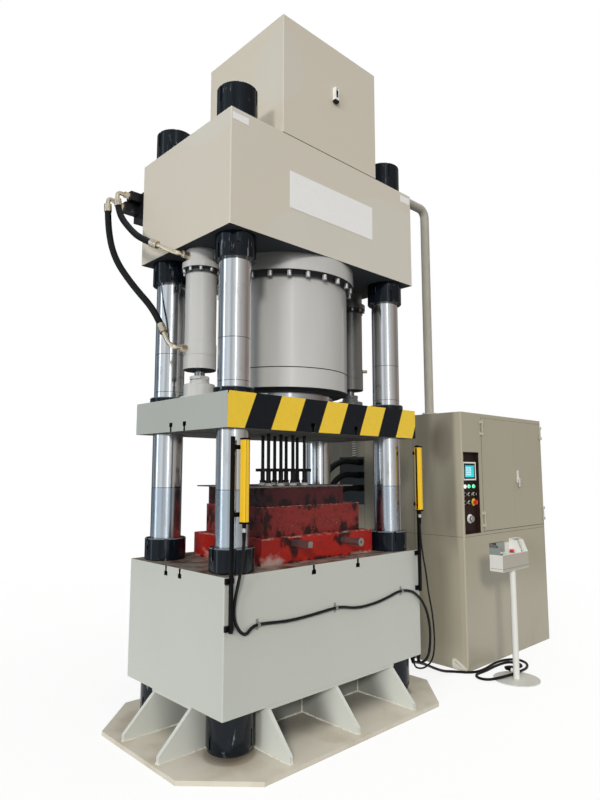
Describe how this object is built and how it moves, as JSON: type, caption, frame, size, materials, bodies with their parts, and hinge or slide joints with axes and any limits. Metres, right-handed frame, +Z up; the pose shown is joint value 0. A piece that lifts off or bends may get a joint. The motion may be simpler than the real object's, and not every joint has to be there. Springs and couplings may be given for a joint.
{
  "type": "hydraulic press",
  "caption": "Four-column hydraulic press with a top cylinder, striped slide, roof oil tank, light curtains, a two-hand desk and a power cabinet.",
  "frame": {"origin": "on the floor, at the middle of the four columns", "axes": "+X to the right along the press's front, +Y to its back, +Z up"},
  "size_m": [4.0265, 2.084, 4.469],
  "materials": {
    "machine_paint": "satin light grey-beige paint",
    "cabinet_paint": "satin grey-beige powder coat",
    "hazard_paint": "gloss yellow and black diagonal bands on the front",
    "silver_paint": "gloss silver grey",
    "polished_chrome": "polished hard chrome",
    "black_oxide": "oiled black oxide",
    "zinc_gold": "yellow zinc plate",
    "black_rubber": "smooth rubber",
    "die_paint": "worn red paint with burnt patches",
    "bare_steel": "plain steel",
    "curtain_yellow": "satin yellow",
    "black_plastic": "matt black",
    "panel_brown": "satin dark brown",
    "screen_glass": "lit pale cyan screen",
    "green_key": "gloss green",
    "red_key": "gloss red",
    "white_key": "gloss white",
    "desk_paint": "satin off-white powder coat",
    "conduit_paint": "satin light grey",
    "gear_grey": "zinc plate and grey cases",
    "clear_gauge": "white case with a dark window"
  },
  "bodies": {
    "press": {"base_plate": "machine_paint", "base_ribs": "machine_paint", "bed": "machine_paint", "crown": "machine_paint", "oil_tank": "machine_paint", "cabinet_base": "cabinet_paint", "cabinet_shell": "cabinet_paint", "cabinet_hinges": "cabinet_paint", "main_cylinder": "silver_paint", "main_gland": "silver_paint", "return_cylinders": "silver_paint", "columns": "polished_chrome", "bed_nuts": "black_oxide", "crown_nuts": "black_oxide", "valve_block": "black_oxide", "rod_guides": "black_oxide", "hose_fittings": "zinc_gold", "hydraulic_hoses": "black_rubber", "curtain_cables": "black_rubber", "desk_cable": "black_rubber", "die_base": "die_paint", "die_middle": "die_paint", "die_top": "die_paint", "crown_plates": "bare_steel", "die_cover": "bare_steel", "die_lifting_pins": "bare_steel", "cylinder_screws": "bare_steel", "curtain_housings": "curtain_yellow", "curtain_brackets": "black_plastic", "cable_fittings": "black_plastic", "curtain_posts": "black_plastic", "conduit": "conduit_paint", "control_panel": "panel_brown", "operator_screen": "screen_glass", "panel_fittings": "white_key", "screen_frame": "white_key", "desk_box": "desk_paint", "desk_stand": "desk_paint", "electrical_panel": "gear_grey", "level_gauge": "clear_gauge"},
    "slide_group": {"slide": "hazard_paint", "main_ram": "polished_chrome", "guide_bushes": "black_oxide", "return_rods": "polished_chrome", "rod_couplings": "silver_paint", "tool_rods": "black_oxide"},
    "door_left": {"cabinet_door_left": "cabinet_paint"},
    "door_right": {"cabinet_door_right": "cabinet_paint"},
    "handle": {"door_handle": "polished_chrome"},
    "start_key": {"start_button": "green_key"},
    "run_key": {"run_button": "green_key"},
    "stop_key": {"stop_button": "red_key"},
    "mode_knob": {"mode_switch": "black_plastic"},
    "pump_knob": {"pump_switch": "black_plastic"},
    "light_knob": {"light_switch": "black_plastic"},
    "ejector_knob": {"ejector_switch": "black_plastic"},
    "key_knob": {"key_switch": "black_plastic"},
    "palm_left": {"palm_button_left": "white_key"},
    "palm_right": {"palm_button_right": "white_key"},
    "desk_stop": {"desk_stop_button": "red_key"}
  },
  "joints": [
    {"name": "slide_stroke", "type": "slide", "parent": "press", "child": "slide_group", "axis": [0, 0, 1], "range_m": [-0.2, 0.03]},
    {"name": "left_door_swing", "type": "hinge", "parent": "press", "child": "door_left", "pos_m": [1.831, -0.491, 1.533], "axis": [0, 0, 1], "range_deg": [-105, 0]},
    {"name": "right_door_swing", "type": "hinge", "parent": "press", "child": "door_right", "pos_m": [2.901, -0.491, 1.533], "axis": [0, 0, 1], "range_deg": [0, 105]},
    {"name": "handle_turn", "type": "hinge", "parent": "door_right", "child": "handle", "pos_m": [2.42, -0.481, 1.48], "axis": [0, -1, 0], "range_deg": [0, 90]},
    {"name": "start_press", "type": "slide", "parent": "press", "child": "start_key", "axis": [0, 1, 0], "range_m": [0, 0.004], "stiffness_N_per_m": 600},
    {"name": "run_press", "type": "slide", "parent": "press", "child": "run_key", "axis": [0, 1, 0], "range_m": [0, 0.004], "stiffness_N_per_m": 600},
    {"name": "stop_press", "type": "slide", "parent": "press", "child": "stop_key", "axis": [0, 1, 0], "range_m": [0, 0.005], "stiffness_N_per_m": 1500},
    {"name": "mode_knob_turn", "type": "hinge", "parent": "press", "child": "mode_knob", "pos_m": [1.58, -0.449, 1.367], "axis": [0, -1, 0], "range_deg": [-45, 45]},
    {"name": "pump_knob_turn", "type": "hinge", "parent": "press", "child": "pump_knob", "pos_m": [1.652, -0.449, 1.367], "axis": [0, -1, 0], "range_deg": [-45, 45]},
    {"name": "light_knob_turn", "type": "hinge", "parent": "press", "child": "light_knob", "pos_m": [1.724, -0.449, 1.367], "axis": [0, -1, 0], "range_deg": [-45, 45]},
    {"name": "ejector_knob_turn", "type": "hinge", "parent": "press", "child": "ejector_knob", "pos_m": [1.58, -0.449, 1.301], "axis": [0, -1, 0], "range_deg": [-45, 45]},
    {"name": "key_knob_turn", "type": "hinge", "parent": "press", "child": "key_knob", "pos_m": [1.652, -0.449, 1.301], "axis": [0, -1, 0], "range_deg": [-45, 45]},
    {"name": "palm_left_press", "type": "slide", "parent": "press", "child": "palm_left", "axis": [0, 0, -1], "range_m": [0, 0.006], "stiffness_N_per_m": 900},
    {"name": "palm_right_press", "type": "slide", "parent": "press", "child": "palm_right", "axis": [0, 0, -1], "range_m": [0, 0.006], "stiffness_N_per_m": 900},
    {"name": "desk_stop_press", "type": "slide", "parent": "press", "child": "desk_stop", "axis": [0, 0, -1], "range_m": [0, 0.005], "stiffness_N_per_m": 1500}
  ]
}
